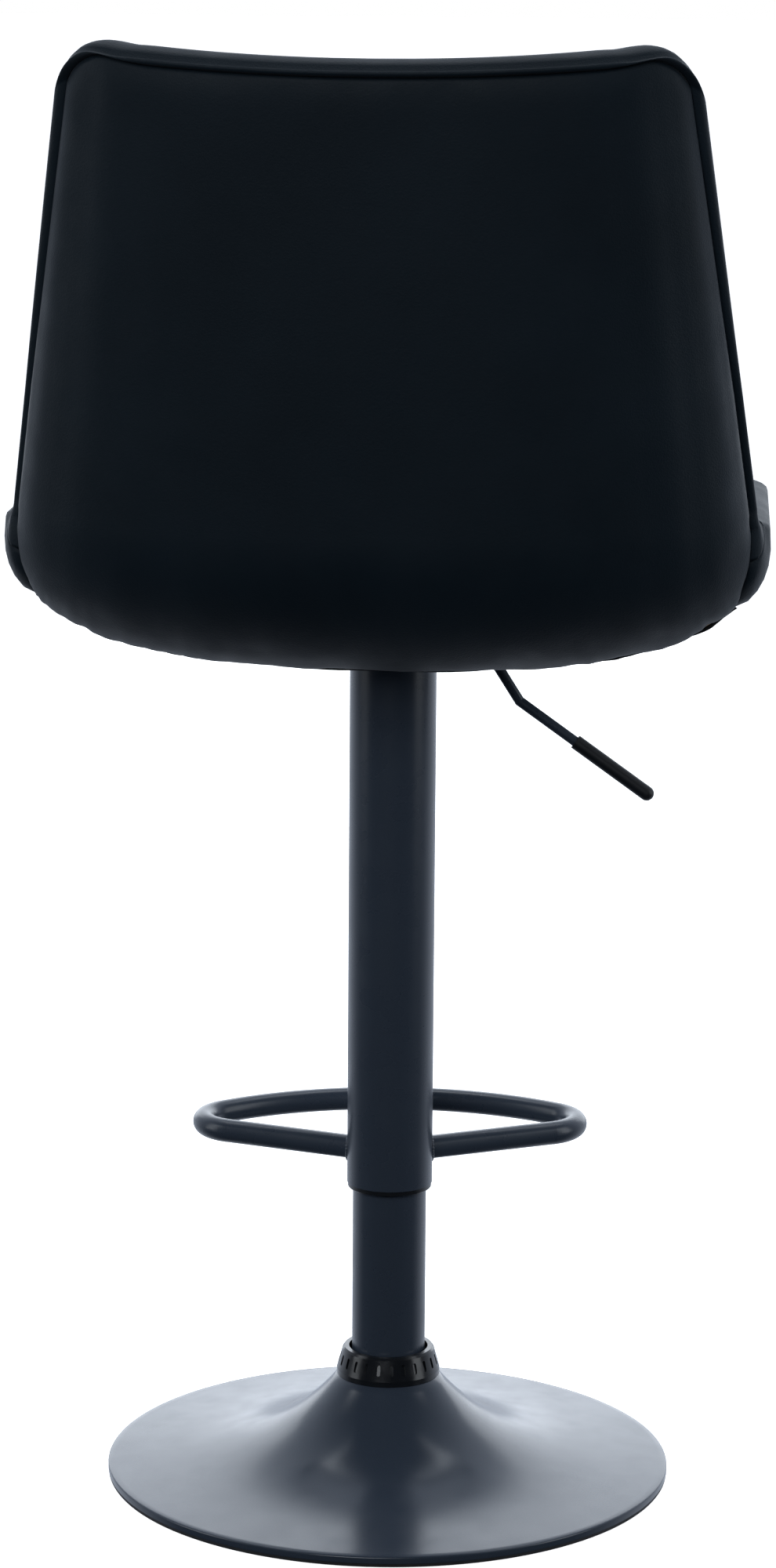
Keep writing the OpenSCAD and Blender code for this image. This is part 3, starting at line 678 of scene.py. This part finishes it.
@dataclass
class Upholstery:
    """The leather cover, its lining and the two cushions, all wrapped on the bucket."""

    form: BucketForm = field(default_factory=BucketForm)
    shop: Paintshop = field(default_factory=Paintshop)
    shell_floor: float = 0.590
    cover_t: float = 0.003
    lining_seam: float = 2.1
    top_seam: float = 0.0045
    front_seam: float = 0.55
    crease: float = 2.5
    seat_pad: float = 0.043
    back_pad: float = 0.034
    pad_from: float = 0.0128
    front_inset: float = 0.05
    roll: float = 0.0065
    stuffing: float = 4.0
    swell_frames: int = 20
    swell_cap: float = 0.006
    recess_x: float = 0.080
    recess_y: float = 0.082
    recess_h: float = 0.060
    recess_round: float = 0.006
    pad_lift: float = 0.0095
    proud: float = 0.0008
    flap_bulge: float = 0.0022
    flap_sink: float = 0.0021
    roll_steps: int = 8
    flap_steps: int = 6
    held_rows: int = 5

    @property
    def pad_floor(self) -> float:
        """Height that the cushions' hidden faces don't go under."""
        return self.shell_floor + self.pad_lift

    def rim_u(self, section: float) -> float:
        """The place across the bucket where a cushion's rolled edge starts."""
        return self.form.inset_u(section, self.roll * 0.7)

    def cover_sink(self, section: float, u: float) -> float:
        """Depth of the rear cover's face under the bucket's surface, in metres."""
        near_side = abs(u) / seam_u(section)
        top = self.form.top_section(near_side, self.top_seam, self.roll)
        near_top = max(0.0, (section - top + 0.08) / 0.08)
        near_foot = max(0.0, (self.lining_seam + 0.16 - section) / 0.16)
        edge = max(near_side ** 26, near_top ** 3, 0.55 * near_foot ** 3)
        plump = 0.0006 * (1.0 - near_side ** 4)
        place = Vector((u * 9.0, section * 0.9, 4.0))
        pucker = 0.0011 * noise.noise(Vector((u * 34.0, section * 1.6, 1.0)))
        pucker *= ease((2.62 - section) / 0.5)
        scallop = 0.0022 * noise.noise(Vector((u * 7.5, 0.0, 6.0))) * ease((2.4 - section) / 0.28)
        wave = 0.0010 * noise.noise(place)
        return 0.0003 + 0.0026 * edge - plump + pucker + scallop + wave * (1.0 - edge)

    def cover_piece(self, name: str, low: float, high: float, rows: int, columns: int,
                    sink: Callable[[float, float], float]) -> bpy.types.Object:
        """A panel of the cover, between two sections and the side seams.

        Args:
            name: The piece's name.
            low: Section of its lower edge.
            high: Section of its upper edge.
            rows: Rows of points along it.
            columns: Points across it.
            sink: Depth of its face under the bucket's surface.

        Returns:
            The panel as a closed skin.
        """
        skin = Skin()
        faces: list[list[list[Vector]]] = [[], []]
        for i in range(rows + 1):
            for layer in (0, 1):
                line = []
                for j in range(columns + 1):
                    w = 2.0 * j / columns - 1.0
                    end = high if high < 3.9 else self.form.top_section(w, self.top_seam,
                                                                        self.roll)
                    section = blend(low, end, i / rows)
                    u = seam_u(section) * w
                    floor = self.shell_floor - 0.0004 if layer else -1.0
                    t = self.cover_t if layer else sink(section, u)
                    line.append(self.form.point(section, u, t, floor))
                faces[layer].append(line)
        outer, inner = skin.grid(faces[0]), skin.grid(faces[1])
        skin.bridge(border(outer), border(inner))
        return skin.finish(name)

    def rear_cover(self) -> bpy.types.Object:
        """The one-piece leather panel over the back and round the bend under the seat."""
        piece = self.cover_piece("rear_cover", self.lining_seam, 4.0, 150, 128, self.cover_sink)
        self.shop.coat(piece, Leather(name="cover leather"))
        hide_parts("outer_cover")
        return piece

    def lining_sink(self, section: float, u: float) -> float:
        """Depth of the lining's gathered face under the bucket's surface, in metres."""
        near_rear = ease((section - self.lining_seam + 0.5) / 0.5)
        gather = noise.noise(Vector((u * 11.0, section * 0.7, 7.0)))
        fine = noise.noise(Vector((u * 40.0, section * 2.0, 2.0)))
        return 0.0012 + near_rear * (0.0016 * gather + 0.0005 * fine - 0.0008)

    def lining(self) -> bpy.types.Object:
        """The cloth under the seat, with a recess cut in it for the seat plate."""
        piece = self.cover_piece("underside_lining", self.front_seam, self.lining_seam, 90, 96,
                                 self.lining_sink)
        Workshop.clear_selection()
        bpy.ops.mesh.primitive_cube_add(size=1.0, location=(0.0, 0.0, self.form.seat_z))
        cutter = bpy.context.active_object
        cutter.scale = (2 * self.recess_x, 2 * self.recess_y, self.recess_h)
        Workshop.settle(cutter)
        bpy.ops.object.mode_set(mode="EDIT")
        bpy.ops.mesh.select_all(action="SELECT")
        bpy.ops.mesh.bevel(offset=self.recess_round, segments=3, affect="EDGES")
        bpy.ops.object.mode_set(mode="OBJECT")
        cut = piece.modifiers.new("recess", "BOOLEAN")
        cut.operation = "DIFFERENCE"
        cut.object = cutter
        cut.solver = "EXACT"
        Workshop.apply_all(piece)
        bpy.data.objects.remove(cutter)
        self.shop.coat(piece, Lining())
        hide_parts("outer_cover")
        return piece

    def pad_depth(self, u: float, v: float, thickness: float) -> float:
        """Depth of a cushion's face from the bucket's surface at a place on it."""
        across = max(0.0, 1.0 - abs(u) ** 5) ** 0.8
        along = max(0.0, 1.0 - abs(v) ** 5) ** 0.6
        return self.pad_from + thickness * (0.30 + 0.70 * across * along)

    def cushion(self, name: str, low: float, high: float, thickness: float,
                ends: tuple[Edge, Edge], rows: int, columns: int) -> bpy.types.Object:
        """A cushion that covers the bucket's inside and wraps over its rim to the side seam.

        Args:
            name: The piece's name.
            low: Section of its lower end.
            high: Section of its upper end.
            thickness: Its thickness in the middle.
            ends: How its lower and upper ends finish.
            rows: Rows of points along it.
            columns: Points across it.

        Returns:
            The cushion as a closed skin, swollen by its stuffing.
        """
        form = self.form
        skin = Skin()
        places: list[list[Point]] = []
        for i in range(rows + 1):
            v = 2.0 * i / rows - 1.0
            v = math.copysign(abs(v) ** 0.8, v)
            line = []
            for j in range(columns + 1):
                w = math.sin(math.pi / 2 * (2.0 * j / columns - 1.0))
                w = 0.55 * (2.0 * j / columns - 1.0) + 0.45 * w
                end = high if high < 3.9 else form.top_section(w, 0.0, self.roll)
                section = blend(low, end, (v + 1.0) / 2.0)
                line.append((section, self.rim_u(section) * w, v))
            places.append(line)

        def face(place: Point) -> Vector:
            """The point of the cushion's face over a place."""
            section, u, v = place
            return form.point(section, u, self.pad_depth(u / self.rim_u(section), v, thickness),
                              self.pad_floor)

        top = skin.grid([[face(p) for p in line] for line in places])
        flat_places = [p for line in places for p in line]
        loop = border(top)
        self.wrap(skin, loop, [flat_places[n] for n in loop], (low, high), ends)
        first = self.held_rows
        free = {self.spot(skin.points[top[i][j]]) for i in range(first, rows - first + 1)
                for j in range(first, columns - first + 1)}
        piece = skin.finish(name)
        self.swell(piece, free)
        return piece

    @staticmethod
    def spot(point: Vector) -> tuple[int, int, int]:
        """A point rounded to a hundredth of a millimetre, to find it again."""
        return (round(point.x * 1e5), round(point.y * 1e5), round(point.z * 1e5))

    def swell(self, piece: bpy.types.Object, free: set[tuple[int, int, int]]) -> None:
        """Lets stuffing push a cushion's face out, held all round its edge.

        The push is shortened smoothly, so that no point moves further than the cap.

        Args:
            piece: The cushion.
            free: Its points that may move, as rounded places.
        """
        start = [vertex.co.copy() for vertex in piece.data.vertices]
        held = piece.vertex_groups.new(name="held")
        held.add([i for i, point in enumerate(start) if self.spot(point) not in free],
                 1.0, "REPLACE")
        cloth = piece.modifiers.new("swell", "CLOTH")
        cloth.settings.vertex_group_mass = held.name
        cloth.settings.use_pressure = True
        cloth.settings.uniform_pressure_force = self.stuffing
        cloth.settings.effector_weights.gravity = 0.0
        cloth.point_cache.frame_start, cloth.point_cache.frame_end = 1, self.swell_frames
        scene = bpy.context.scene
        for step in range(1, self.swell_frames + 1):
            scene.frame_set(step)
        swollen = piece.evaluated_get(bpy.context.evaluated_depsgraph_get()).data
        moved = [vertex.co - origin for vertex, origin in zip(swollen.vertices, start)]
        piece.modifiers.remove(cloth)
        piece.vertex_groups.remove(held)
        for vertex, origin, step in zip(piece.data.vertices, start, moved):
            reach = self.swell_cap * math.tanh(step.length / self.swell_cap)
            vertex.co = origin + step.normalized() * reach
        scene.frame_set(1)
        LOG.info("%s pushed by up to %.1f mm, shortened to under %.1f mm", piece.name,
                 1000 * max(step.length for step in moved), 1000 * self.swell_cap)

    def tuck(self, place: Point, ends: tuple[Edge, Edge]) -> float:
        """How far a rim place belongs to a tucked end, from 0 to 1."""
        section, u, v = place
        low_end = v <= -0.9999 and ends[0] is Edge.TUCKED
        high_end = v >= 0.9999 and ends[1] is Edge.TUCKED
        if not (low_end or high_end):
            return 0.0
        rim = self.rim_u(section)
        return ease((1.0 - abs(u) / rim) / 0.02) if abs(u) < rim else 0.0

    def seam_place(self, place: Point, limits: tuple[float, float]) -> tuple[float, float]:
        """Where the wrapped cloth from a rim place meets the seam on the outside."""
        section, u, v = place
        form = self.form
        side = abs(u) / self.rim_u(section)
        if limits[0] < 0.5:
            inner = blend(self.front_seam, 1.0, section) if section < 1.0 else section
            if v <= -0.9999:
                inner = self.front_seam
            return inner, math.copysign(seam_u(inner) * side, u)
        inner = min(section, form.top_section(side, self.top_seam, self.roll))
        return inner, math.copysign(seam_u(inner) * side, u)

    def wrap(self, skin: Skin, loop: list[int], rim_places: list[Point],
             limits: tuple[float, float], ends: tuple[Edge, Edge]) -> None:
        """Adds the rolled edge, the outside flap and the hidden inside of a cushion.

        Args:
            skin: The cushion's points and faces so far.
            loop: Numbers of the points round its face.
            rim_places: Where those points lie on the bucket.
            limits: Sections of its lower and upper ends.
            ends: How its lower and upper ends finish.
        """
        form = self.form
        count = len(loop)
        tucks = [self.tuck(p, ends) for p in rim_places]
        outer, inner, way = [], [], []
        for place, tuck, number in zip(rim_places, tucks, loop):
            section, u, _ = place
            outer.append(form.point(section, u, blend(-self.proud, self.pad_from, tuck)))
            inner.append(skin.points[number].copy())
        for k in range(count):
            along = (outer[(k + 2) % count] - outer[k - 2]
                     + inner[(k + 2) % count] - inner[k - 2]).normalized()
            across = (inner[k] - outer[k]).normalized()
            way.append(along.cross(across).normalized())
        centre = sum(inner, Vector()) / count
        outward = sum(w.dot(p - centre) for w, p in zip(way, inner))
        if outward < 0:
            way = [-w for w in way]
        previous = loop
        for step in range(1, self.roll_steps):
            angle = math.pi * step / self.roll_steps
            ring = []
            for k in range(count):
                middle = (outer[k] + inner[k]) / 2
                half = (inner[k] - outer[k]) / 2
                height = self.roll * blend(1.0, 0.35, tucks[k])
                ring.append(middle + half * math.cos(angle) + way[k] * height * math.sin(angle))
            numbers = skin.row(ring)
            skin.bridge(previous, numbers)
            previous = numbers
        targets = [self.seam_place(p, limits) for p in rim_places]
        for step in range(self.flap_steps + 1):
            share = step / self.flap_steps
            ring = []
            for k in range(count):
                section, u, _ = rim_places[k]
                to_section, to_u = targets[k]
                if tucks[k] > 0.5:
                    middle_section = blend(section, sum(limits) / 2, 0.04 * share)
                    ring.append(form.point(middle_section, u * (1 - 0.02 * share),
                                           self.pad_from))
                    continue
                bulge = self.flap_bulge * math.sin(math.pi * min(1.0, share * 1.05)) ** 0.7
                t = blend(-self.proud, self.flap_sink, ease((share - 0.8) / 0.2)) - bulge
                ring.append(form.point(blend(section, to_section, share),
                                       blend(u, to_u, share), t))
            numbers = skin.row(ring)
            skin.bridge(previous, numbers)
            previous = numbers
        behind = self.cover_t - 0.0002
        for share, t in ((1.0, behind), (0.15, behind), (0.0, self.pad_from),
                         (-0.25, self.pad_from)):
            ring = []
            for k in range(count):
                section, u, _ = rim_places[k]
                to_section, to_u = targets[k]
                middle = (blend(section, sum(limits) / 2, max(0.0, -share)),
                          u * (1.0 - max(0.0, -share)))
                if tucks[k] > 0.5 and share > 0:
                    middle = (blend(section, sum(limits) / 2, 0.05), u * 0.975)
                    depth = self.pad_from
                else:
                    depth = t
                    if share > 0:
                        middle = (blend(section, to_section, share), blend(u, to_u, share))
                floor = self.pad_floor if depth > 0.01 else -1.0
                ring.append(form.point(middle[0], middle[1], depth, floor))
            numbers = skin.row(ring)
            skin.bridge(previous, numbers)
            previous = numbers
        middle_point = sum((skin.points[n] for n in previous), Vector()) / count
        cap = skin.row([middle_point])[0]
        for k in range(count):
            skin.faces.append((previous[k], previous[(k + 1) % count], cap))

    def seat_cushion(self) -> bpy.types.Object:
        """The seat cushion, with bolsters that roll over the sides and the front."""
        piece = self.cushion("seat_cushion", self.front_inset, self.crease - 0.006,
                             self.seat_pad,
                             (Edge.WRAPPED, Edge.TUCKED), 64, 64)
        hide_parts("seat_pad")
        return self.dressed(piece)

    def back_cushion(self) -> bpy.types.Object:
        """The back cushion, rolled over the top and the sides."""
        piece = self.cushion("back_cushion", self.crease + 0.006, 4.0, self.back_pad,
                             (Edge.TUCKED, Edge.WRAPPED), 64, 64)
        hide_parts("back_pad")
        return self.dressed(piece)

    def dressed(self, piece: bpy.types.Object) -> bpy.types.Object:
        """Gives a cushion its leather."""
        self.shop.coat(piece, Leather(name="seat leather"))
        return piece

    def build(self) -> list[bpy.types.Object]:
        """Makes all soft pieces.

        Returns:
            The pieces, riding on the seat.
        """
        pieces = [self.rear_cover(), self.lining(), self.seat_cushion(), self.back_cushion()]
        for piece in pieces:
            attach(piece, Body.SEAT.value)
        return pieces


# ---------------------------------------------------------------- base and column


@dataclass
class TrumpetBase:
    """The spun base shell."""

    shop: Paintshop = field(default_factory=Paintshop)
    radius: float = 0.1925
    lip_z: float = 0.007
    neck_z: float = 0.068
    neck_r: float = 0.035
    cone_rise: float = 0.014
    power: float = 3.9
    wall: float = 0.0015
    lip_round: float = 0.0012
    foot_z: float = 0.00251
    spigot_r: float = 0.031
    spigot_z: float = 0.075

    def height(self, r: float) -> float:
        """Height of the shell's outside at a radius."""
        flare = (self.radius - r) / (self.radius - self.neck_r)
        rest = self.neck_z - self.lip_z - self.cone_rise
        return self.lip_z + self.cone_rise * flare + rest * flare ** self.power

    def slope(self, r: float) -> float:
        """Steepness of the shell at a radius."""
        step = 0.0001
        return (self.height(r - step) - self.height(r + step)) / (2 * step)

    def profile(self) -> list[tuple[float, float]]:
        """The shell's outline as radius and height, round the whole sheet."""
        steps = 44
        outside = [(self.radius, self.foot_z), (self.radius, self.lip_z - self.lip_round)]
        for i in range(1, 4):
            angle = math.pi / 2 * i / 4
            outside.append((self.radius - self.lip_round * (1 - math.cos(angle)),
                            self.lip_z - self.lip_round * (1 - math.sin(angle))))
        for i in range(steps + 1):
            r = blend(self.radius - self.lip_round, self.neck_r, i / steps)
            outside.append((r, self.height(r)))
        outside += [(self.spigot_r, self.neck_z + 0.0022), (self.spigot_r, self.spigot_z)]
        inside = [(self.spigot_r - self.wall, self.spigot_z),
                  (self.spigot_r - self.wall, self.neck_z)]
        for i in range(steps + 1):
            r = blend(self.neck_r, self.radius - self.wall, i / steps)
            inside.append((r, self.height(r) - self.wall * math.hypot(1.0, self.slope(r))))
        inside.append((self.radius - self.wall, self.foot_z))
        return outside + inside

    def build(self) -> list[bpy.types.Object]:
        """Makes the shell.

        Returns:
            The pieces, riding on the base.
        """
        shell = Workshop.turned("trumpet_shell", self.profile(), steps=160)
        Workshop.smooth(shell, 50.0)
        self.shop.coat(shell, PowderCoat(name="base powder coat", roughness=0.22))
        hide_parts("base_shell")
        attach(shell, Body.BASE.value)
        return [shell]


@dataclass
class Footrest:
    """Weld beads where the loop meets the sleeve."""

    shop: Paintshop = field(default_factory=Paintshop)
    sleeve_r: float = 0.029
    tube_r: float = 0.008
    bead_r: float = 0.0017
    arm_angle: float = math.radians(23.5)
    turn: float = math.radians(4.0)

    def bead(self, name: str, side: int, z: float) -> bpy.types.Object:
        """A weld bead round one arm.

        Args:
            name: The piece's name.
            side: 1 for the right arm and -1 for the left.
            z: Height of the arm.

        Returns:
            The bead.
        """
        Workshop.clear_selection()
        bpy.ops.mesh.primitive_torus_add(major_radius=self.tube_r + 0.0006,
                                         minor_radius=self.bead_r, major_segments=96,
                                         minor_segments=10)
        piece = bpy.context.active_object
        piece.name = name
        ring = self.tube_r + 0.0006
        arm = Matrix.Rotation(self.turn, 3, "Z") @ Vector(
            (side * math.cos(self.arm_angle), math.sin(self.arm_angle), 0.0))
        sideways = Vector((-arm.y, arm.x, 0.0))
        for vertex in piece.data.vertices:
            x, y, depth = vertex.co
            angle = math.atan2(y, x)
            spot = math.hypot(x, y) - ring
            ripple = 1.0 + 0.14 * math.sin(angle * 26.0)
            a, b = math.cos(angle) * ring, math.sin(angle) * ring
            out = math.sqrt(self.sleeve_r ** 2 - a * a)
            centre = arm * out + sideways * a + Vector((0.0, 0.0, b))
            radial = (sideways * math.cos(angle) + Vector((0.0, 0.0, math.sin(angle))))
            vertex.co = centre + radial * spot * ripple + arm * depth * ripple
            vertex.co.z += z
        bpy.ops.object.mode_set(mode="EDIT")
        bpy.ops.mesh.select_all(action="SELECT")
        bpy.ops.mesh.normals_make_consistent(inside=False)
        bpy.ops.object.mode_set(mode="OBJECT")
        Workshop.smooth(piece, 60.0)
        return piece

    def build(self) -> list[bpy.types.Object]:
        """Makes both beads.

        Returns:
            The pieces, riding on the seat.
        """
        low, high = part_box("footrest")
        z = (low.z + high.z) / 2
        pieces = [self.bead("weld_bead_right", 1, z), self.bead("weld_bead_left", -1, z)]
        for piece in pieces:
            self.shop.coat(piece, PowderCoat())
            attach(piece, Body.SEAT.value)
        return pieces


@dataclass
class PackedParts:
    """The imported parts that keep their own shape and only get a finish."""

    shop: Paintshop = field(default_factory=Paintshop)

    def finishes(self) -> dict[str, object]:
        """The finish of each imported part."""
        coat = PowderCoat()
        steel = Metal()
        bright = Metal(name="bearing steel", colour=(0.6, 0.61, 0.63), roughness=0.18)
        brass = Metal(name="brass", colour=(0.55, 0.40, 0.16), roughness=0.3)
        zinc = Metal(name="zinc plate", colour=(0.5, 0.51, 0.5), roughness=0.4)
        raw = Metal(name="ballast steel", colour=(0.16, 0.16, 0.17), roughness=0.55,
                    mark=0.003)
        gloss = MouldedPlastic(name="collar plastic", roughness=0.2)
        plastic = MouldedPlastic()
        grip = MouldedPlastic(name="grip plastic", roughness=0.42)
        acetal = MouldedPlastic(name="acetal", colour=(0.62, 0.60, 0.54), roughness=0.4)
        rubber = Rubber()
        return {
            "floor_ring": rubber, "base_ballast": raw, "base_hub": steel,
            "base_collar": gloss, "stand_tube": coat, "tube_end_disc": steel,
            "lower_bearing_washer": bright, "guide_bush": acetal, "ball_cage": brass,
            "bearing_balls": bright, "upper_bearing_washer": bright, "piston_rod": bright,
            "rod_clip": steel, "rubber_bumper": rubber, "piston": steel,
            "piston_seal": rubber, "gas_cylinder": coat, "cylinder_gland": plastic,
            "valve_body": brass, "outer_sleeve": coat, "sleeve_guide_ring": plastic,
            "sleeve_cap": plastic, "footrest": coat, "head_hub": coat, "seat_plate": coat,
            "pivot_pin": zinc, "seat_bolts": zinc, "bolt_washers": zinc, "tee_nuts": zinc,
            "seat_shell": Plywood(), "lever_rocker": steel, "lever_rod": coat,
            "lever_grip": grip, "valve_pin": bright,
        }

    def build(self) -> list[bpy.types.Object]:
        """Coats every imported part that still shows.

        Returns:
            The parts.
        """
        done = []
        for name, finish in self.finishes().items():
            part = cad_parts[name]
            self.shop.coat(part, finish)
            done.append(part)
        return done


# ---------------------------------------------------------------- studio

# Name, place, height aimed at, width and height, all in metres, and power in watts
SOFTBOXES = (
    ("left_softbox", (-2.6, -0.6, 1.3), 0.55, (1.2, 2.4), 17.0),
    ("right_softbox", (2.6, -0.6, 1.3), 0.55, (1.2, 2.4), 19.0),
    ("top_softbox", (0.0, 0.6, 3.0), 0.6, (2.4, 1.6), 30.0),
    ("front_softbox", (-0.6, -3.4, 2.2), 0.75, (1.8, 1.8), 42.0),
    ("far_softbox", (0.0, 3.2, 1.1), 0.2, (5.0, 2.2), 60.0),
)


@dataclass
class Studio:
    """Camera, floor and lights."""

    distance: float = 2.977
    height: float = 1.085
    azimuth: float = math.radians(4.0)
    pitch: float = math.radians(11.48)
    roll: float = math.radians(0.423)
    lens: float = 104.08
    shift: float = -0.00285
    floor_size: float = 60.0

    def camera(self) -> bpy.types.Object:
        """Places the camera behind the stool and a little above it."""
        data = bpy.data.cameras.new("camera")
        data.lens = self.lens
        data.sensor_width = 36.0
        data.sensor_fit = "AUTO"
        data.shift_x = self.shift
        data.clip_end = 200.0
        camera = bpy.data.objects.new("camera", data)
        bpy.context.scene.collection.objects.link(camera)
        camera.matrix_world = (
            Matrix.Translation((self.distance * math.sin(self.azimuth),
                                -self.distance * math.cos(self.azimuth), self.height))
            @ Matrix.Rotation(self.azimuth, 4, "Z")
            @ Matrix.Rotation(math.pi / 2 - self.pitch, 4, "X")
            @ Matrix.Rotation(self.roll, 4, "Z"))
        bpy.context.scene.camera = camera
        return camera

    def floor(self) -> bpy.types.Object:
        """A plain pale floor."""
        Workshop.clear_selection()
        bpy.ops.mesh.primitive_plane_add(size=self.floor_size, location=(0.0, 0.0, -0.0004))
        floor = bpy.context.active_object
        floor.name = "floor"
        Workshop.settle(floor)
        bench = NodeBench("floor")
        bench.set(Base_Color=(0.9, 0.9, 0.9, 1.0), Roughness=0.9, Emission_Strength=0.86,
                  Emission_Color=(1.0, 1.0, 1.0, 1.0))
        bench.set(Specular_IOR_Level=0.0)
        floor.data.materials.append(bench.material)
        floor.visible_glossy = False
        floor.visible_diffuse = False
        return floor

    def softbox(self, name: str, place: Point, aim: Point, size: tuple[float, float],
                power: float) -> bpy.types.Object:
        """A rectangular light.

        Args:
            name: Its name.
            place: Where it stands.
            aim: What it points at.
            size: Its width and height in metres.
            power: Its power in watts.

        Returns:
            The light.
        """
        data = bpy.data.lights.new(name, "AREA")
        data.shape = "RECTANGLE"
        data.size, data.size_y = size
        data.energy = power
        data.color = (0.90, 0.95, 1.0)
        light = bpy.data.objects.new(name, data)
        bpy.context.scene.collection.objects.link(light)
        way = Vector(aim) - Vector(place)
        light.matrix_world = Matrix.Translation(place) @ way.to_track_quat(
            "-Z", "Y").to_matrix().to_4x4()
        return light

    def surroundings(self) -> None:
        """White beyond the stool, dark behind the camera, and white to look at all round."""
        world = bpy.data.worlds.new("studio")
        bpy.context.scene.world = world
        world.use_nodes = True
        tree = world.node_tree
        tree.nodes.clear()
        output = tree.nodes.new("ShaderNodeOutputWorld")
        mix = tree.nodes.new("ShaderNodeMixShader")
        seen = tree.nodes.new("ShaderNodeBackground")
        seen.inputs["Color"].default_value = (1.0, 1.0, 1.0, 1.0)
        lit = tree.nodes.new("ShaderNodeBackground")
        path = tree.nodes.new("ShaderNodeLightPath")
        place = tree.nodes.new("ShaderNodeTexCoord")
        split = tree.nodes.new("ShaderNodeSeparateXYZ")
        ramp = tree.nodes.new("ShaderNodeValToRGB")
        span = tree.nodes.new("ShaderNodeMapRange")
        span.inputs["From Min"].default_value = -1.0
        stops = ramp.color_ramp.elements
        stops[0].position, stops[0].color = 0.47, (0.016, 0.020, 0.027, 1.0)
        stops[1].position, stops[1].color = 0.80, (0.74, 0.82, 0.96, 1.0)
        tree.links.new(place.outputs["Generated"], split.inputs["Vector"])
        tree.links.new(split.outputs["Y"], span.inputs["Value"])
        tree.links.new(span.outputs["Result"], ramp.inputs["Fac"])
        tree.links.new(ramp.outputs["Color"], lit.inputs["Color"])
        tree.links.new(path.outputs["Is Camera Ray"], mix.inputs["Fac"])
        tree.links.new(lit.outputs["Background"], mix.inputs[1])
        tree.links.new(seen.outputs["Background"], mix.inputs[2])
        tree.links.new(mix.outputs["Shader"], output.inputs["Surface"])

    def build(self) -> None:
        """Sets up the studio."""
        bpy.context.scene.view_settings.view_transform = "Standard"
        self.camera()
        self.floor()
        self.surroundings()
        for name, place, aim_z, size, power in SOFTBOXES:
            self.softbox(name, place, (0.0, 0.0, aim_z), size, power)
        bpy.data.objects["far_softbox"].visible_camera = False


# ---------------------------------------------------------------- the whole stool


def main() -> None:
    """Builds the studio, then each sub-assembly, and reports every piece."""
    logging.basicConfig(level=logging.INFO, format="%(name)s: %(message)s")
    shop = Paintshop()
    Studio().build()
    for assembly in (PackedParts(shop=shop), TrumpetBase(shop=shop), Footrest(shop=shop),
                     Upholstery(shop=shop)):
        for piece in assembly.build():
            LOG.info("%s: %s, %d faces", type(assembly).__name__, piece.name,
                     len(piece.data.polygons))
    Workshop.clear_selection()


if __name__ == "__main__":
    main()
